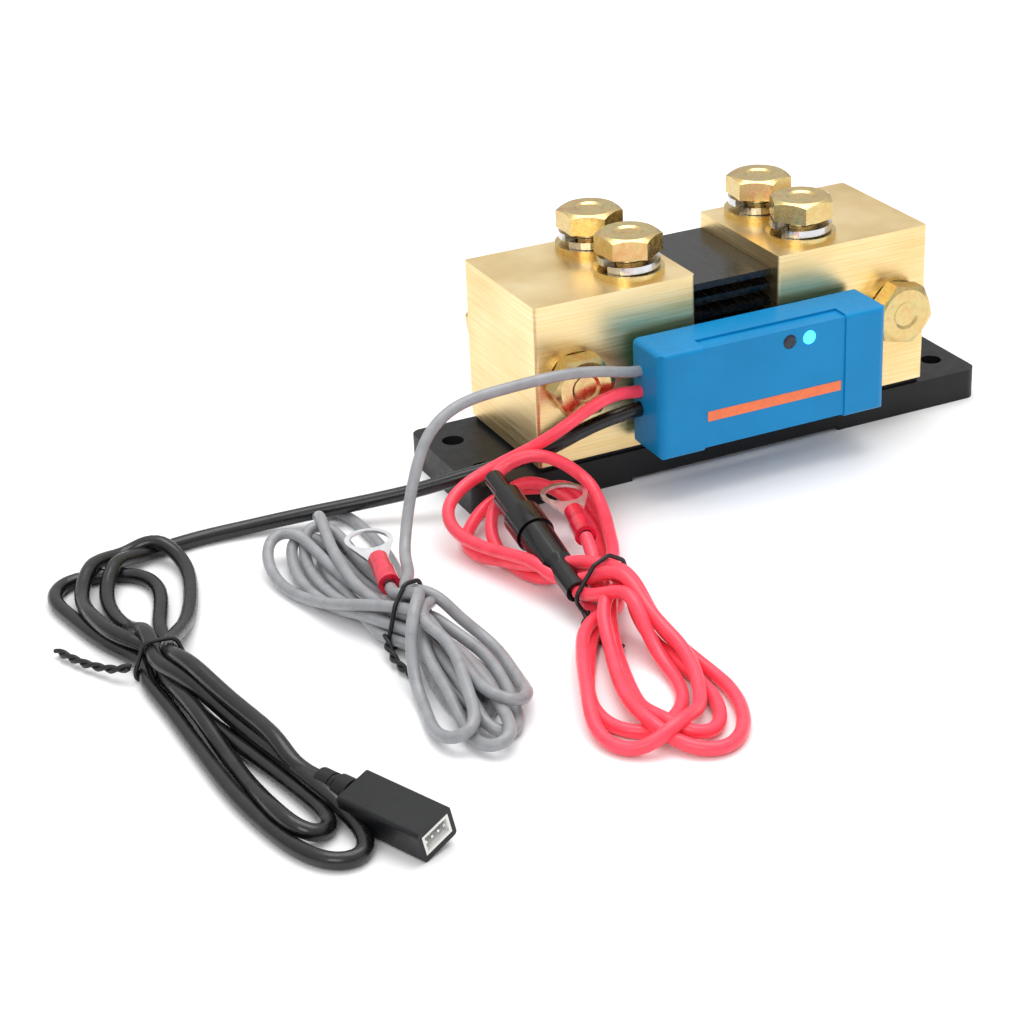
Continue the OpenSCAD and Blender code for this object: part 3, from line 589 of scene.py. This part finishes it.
def jacket(name, base, roughness, sheen):
    """A cable's soft jacket: fine grain, scuffs and a soft sheen."""
    s = Surface(name, base, roughness, coat=0.08)
    s.shader.inputs["Sheen Weight"].default_value = sheen
    s.shader.inputs["Sheen Roughness"].default_value = 0.4
    scuffs = s.noise(5, 5, distortion=0.6)
    light = [min(1, c * 1.12 + 0.006) for c in base[:3]] + [1]
    dark = [c * 0.86 for c in base[:3]] + [1]
    s.paint(s.ramp(scuffs, (0.3, dark), (0.5, base), (0.72, light)))
    s.wear(s.noise(2.2, 5), roughness - 0.08, roughness + 0.1)
    s.bump(s.noise(0.7, 4), 0.012, 0.4)
    s.bump(s.noise(6, 2), 0.05, 0.3)
    return s.material


def glowing(name, base, strength):
    """An indicator light's lens."""
    s = Surface(name, base, 0.2)
    s.shader.inputs["Emission Color"].default_value = base
    s.shader.inputs["Emission Strength"].default_value = strength
    s.wear(s.noise(0.8, 3), 0.12, 0.3)
    s.bump(s.noise(1.5, 3), 0.02, 0.3)
    return s.material


def glass():
    """The cartridge fuse's tube."""
    s = Surface("fuse_glass", colour(226, 232, 236), 0.05)
    s.shader.inputs["Transmission Weight"].default_value = 0.8
    s.wear(s.noise(1.5, 3), 0.03, 0.12)
    return s.material


def printed(name, base):
    """Ink printed on the case, a little worn."""
    s = Surface(name, base, 0.42)
    dark = [c * 0.9 for c in base[:3]] + [1]
    s.paint(s.ramp(s.noise(2.5, 5), (0.36, dark), (0.6, base)))
    s.bump(s.noise(0.3, 3), 0.01, 0.4)
    return s.material


def sleeve():
    """The soft, slightly see-through sleeve of a ring terminal."""
    s = Surface("sleeve_red", colour(226, 22, 56), 0.24, coat=0.5)
    s.shader.inputs["Subsurface Weight"].default_value = 0.25
    s.shader.inputs["Subsurface Scale"].default_value = 0.002
    s.paint(s.ramp(s.noise(4, 3), (0.3, colour(196, 12, 44)), (0.7, colour(240, 40, 74))))
    s.bump(s.noise(3, 2), 0.12, 0.4)
    return s.material


MATERIALS = {
    "base_plastic": moulded("base_plastic", colour(26, 26, 27), 0.42, 0.45, 0.04, specular=0.25),
    "brass": brass(),
    "strip_black": lacquer(),
    "yellow_zinc": yellow_zinc(),
    "steel": bright_metal("steel", colour(214, 214, 216), 0.14, 0.3, 1.2),
    "tinned_copper": bright_metal("tinned_copper", colour(240, 241, 243), 0.3, 0.46, 0.9),
    "case_blue": moulded("case_blue", colour(0, 128, 186), 0.4, 0.3, 0.018, change=0.06, specular=0.25),
    "stripe_orange": printed("stripe_orange", colour(240, 118, 66)),
    "board_green": moulded("board_green", colour(24, 100, 56), 0.4, 1.5, 0.02),
    "chip_black": moulded("chip_black", colour(26, 26, 28), 0.5, 0.3, 0.02),
    "light_dark": glowing("light_dark", colour(24, 30, 46), 0.02),
    "light_blue": glowing("light_blue", colour(60, 190, 255), 2.2),
    "grey_jacket": jacket("grey_jacket", colour(146, 147, 150), 0.34, 0.06),
    "red_jacket": jacket("red_jacket", colour(255, 66, 88), 0.36, 0.1),
    "black_jacket": jacket("black_jacket", colour(14, 15, 17), 0.25, 0),
    "sleeve_red": sleeve(),
    "tie_black": moulded("tie_black", colour(22, 22, 24), 0.4, 0.6, 0.03),
    "holder_black": moulded("holder_black", colour(9, 9, 10), 0.2, 0.6, 0.012, coat=0.2),
    "fuse_glass": glass(),
    "plug_black": moulded("plug_black", colour(20, 21, 23), 0.4, 0.35, 0.03, specular=0.3),
    "insert_white": moulded("insert_white", colour(226, 226, 222), 0.4, 0.5, 0.01, change=0.04),
}


def dress_nodes():
    """Every CAD node keeps its shape and gets the finish of its slot."""
    for node in NODES.values():
        for slot in node.material_slots:
            slot.material = MATERIALS[slot.material.name.split(".")[0]]


# ---- Ties, in millimetres ----

TIE_WIRE_D = 1.2
TIE_REACH = 2
TIE_SIDE = 12
TIE_STEPS = 40
TWIST_PITCH = 9
TWIST_R = 0.6
TWIST_STEP = 0.7
TIE_TAILS = {
    "grey": (
        (-136.4, -79.8, 4.6), (-137.6, -83, 3.6), (-138, -88, 2),
        (-137.6, -93, 1.4), (-136.6, -98, 1.3),
    ),
    "red": (
        (-86.5, -93.5, 4.6), (-88.6, -97, 3), (-88.6, -102, 1.6),
        (-86.4, -107, 1.3), (-84.6, -110, 1.3),
    ),
    "black": (
        (-199.2, -62.6, 4.4), (-202, -60, 3.2), (-204.5, -56, 2.4),
        (-207.5, -51, 2), (-210, -45.5, 1.8), (-211.8, -40, 1.6),
    ),
}


def hull_round(tie, cords, wire):
    """A wire's line, [side, height], drawn tight round everything that goes through a tie."""
    x, y, turn = tie
    ax, ay = math.cos(math.radians(turn)), math.sin(math.radians(turn))
    found = []
    for cord in cords:
        for px, py, pz in cord["line"]:
            along = -(px - x) * ay + (py - y) * ax
            side = (px - x) * ax + (py - y) * ay
            if abs(along) < TIE_REACH and abs(side) < TIE_SIDE:
                found.append((side, pz, cord["radius"] + wire))
    ring = []
    for k in range(TIE_STEPS):
        c, s = math.cos(2 * math.pi * k / TIE_STEPS), math.sin(2 * math.pi * k / TIE_STEPS)
        side, height, r = max(found, key=lambda f: f[0] * c + f[1] * s + f[2])
        ring.append([side + r * c, max(wire, height + r * s)])
    return ring


def wire_curve(name, line, closed, material_slot):
    """A piece of tie wire along a line."""
    data = bpy.data.curves.new(name, "CURVE")
    data.dimensions = "3D"
    data.bevel_depth = TIE_WIRE_D / 2 * MM
    data.bevel_resolution = WIRE_SIDES
    data.resolution_u = CURVE_STEPS
    data.use_fill_caps = True
    spline = data.splines.new("POLY" if closed else "NURBS")
    spline.points.add(len(line) - 1)
    for p, q in zip(spline.points, line):
        p.co = (q[0] * MM, q[1] * MM, q[2] * MM, 1)
    spline.use_cyclic_u = closed
    spline.use_endpoint_u = not closed
    spline.order_u = min(4, len(line))
    data.materials.append(MATERIALS[material_slot])
    wire = bpy.data.objects.new(name, data)
    bpy.context.scene.collection.objects.link(wire)
    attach(wire, "shunt")
    return wire


def twisted_tail(name, path):
    """The two ends of a wire tie, twisted round each other along a path."""
    line, _ = even(path, TWIST_STEP)
    for strand in (0, 1):
        points = []
        for i, p in enumerate(line):
            ahead = line[min(i + 1, len(line) - 1)]
            behind = line[max(i - 1, 0)]
            along = Vector(ahead) - Vector(behind)
            side = along.cross(Vector((0, 0, 1))).normalized()
            up = side.cross(along).normalized()
            a = 2 * math.pi * i * TWIST_STEP / TWIST_PITCH + strand * math.pi
            at = Vector(p) + (side * math.cos(a) + up * math.sin(a)) * TWIST_R
            points.append((at.x, at.y, max(at.z, TIE_WIRE_D / 2)))
        wire_curve(f"{name}_{strand + 1}", points, False, "tie_black")


def make_tie(name, tie, cords):
    """A wire tie round its cords, and its twisted ends."""
    x, y, turn = tie
    ax, ay = math.cos(math.radians(turn)), math.sin(math.radians(turn))
    ring = [(x + s * ax, y + s * ay, h) for s, h in hull_round(tie, cords, TIE_WIRE_D / 2)]
    wire = wire_curve(name + "_tie_wire", ring, True, "tie_black")
    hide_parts(name + "_tie")
    twisted_tail(name + "_tie_tail", TIE_TAILS[name])


# ---- The cords along the modelled lines, with their lengths in millimetres printed ----


def make_cords():
    """The four cords along their lines, and the ties round them."""
    cords = lay_all()
    lines = {name: cord["line"] for name, cord in cords.items()}
    grey = make_cord("grey_cord", lines["grey"], GREY_D, "grey_jacket", ["grey_lead", "grey_hank"])
    fused = make_cord("red_cord_case", lines["fused"], RED_D, "red_jacket", ["red_lead"])
    ringed = make_cord("red_cord_ring", lines["ringed"], RED_D, "red_jacket", ["red_hank", "red_tails"])
    black = make_cord("black_cord", lines["black"], BLACK_D, "black_jacket", ["black_lead", "black_hank"])
    make_tie("grey", GREY_TIE, [cords["grey"]])
    make_tie("red", RED_TIE, [cords["fused"], cords["ringed"]])
    make_tie("black", BLACK_TIE, [cords["black"]])


# ---- Floor and light ----


def make_floor():
    """The pale floor that everything stands on."""
    bpy.ops.mesh.primitive_plane_add(size=8, location=(0, 0, 0))
    floor = bpy.context.object
    floor.name = "floor"
    s = Surface("floor", colour(247, 247, 248), 0.6)
    s.bump(s.noise(3, 3), 0.01, 0.2)
    floor.data.materials.append(s.material)


def area_light(name, place, look_at, size, power):
    """A soft light, in metres and watts."""
    data = bpy.data.lights.new(name, "AREA")
    data.shape = "RECTANGLE"
    data.size, data.size_y = size
    data.energy = power
    lamp = bpy.data.objects.new(name, data)
    bpy.context.scene.collection.objects.link(lamp)
    lamp.location = place
    direction = Vector(look_at) - Vector(place)
    lamp.rotation_euler = direction.to_track_quat("-Z", "Y").to_euler()


def make_light():
    """A white room that is brighter overhead, and two soft lights."""
    world = bpy.data.worlds.new("studio")
    bpy.context.scene.world = world
    world.use_nodes = True
    tree = world.node_tree
    tree.nodes["Background"].inputs["Color"].default_value = (1, 1, 1, 1)
    place = tree.nodes.new("ShaderNodeTexCoord")
    height = tree.nodes.new("ShaderNodeSeparateXYZ")
    strength = tree.nodes.new("ShaderNodeMapRange")
    strength.inputs["To Min"].default_value = 0.45
    strength.inputs["To Max"].default_value = 1.15
    tree.links.new(place.outputs["Generated"], height.inputs["Vector"])
    tree.links.new(height.outputs["Z"], strength.inputs["Value"])
    tree.links.new(strength.outputs["Result"], tree.nodes["Background"].inputs["Strength"])
    area_light("top_light", (0.1, 0.1, 1.1), (-0.05, -0.05, 0), (1, 0.8), 7)
    area_light("front_light", (-0.9, -0.9, 0.8), (-0.05, -0.05, 0.02), (0.7, 0.5), 4)
    bpy.context.scene.view_settings.view_transform = "Standard"


make_camera()
make_cords()
dress_nodes()
make_floor()
make_light()
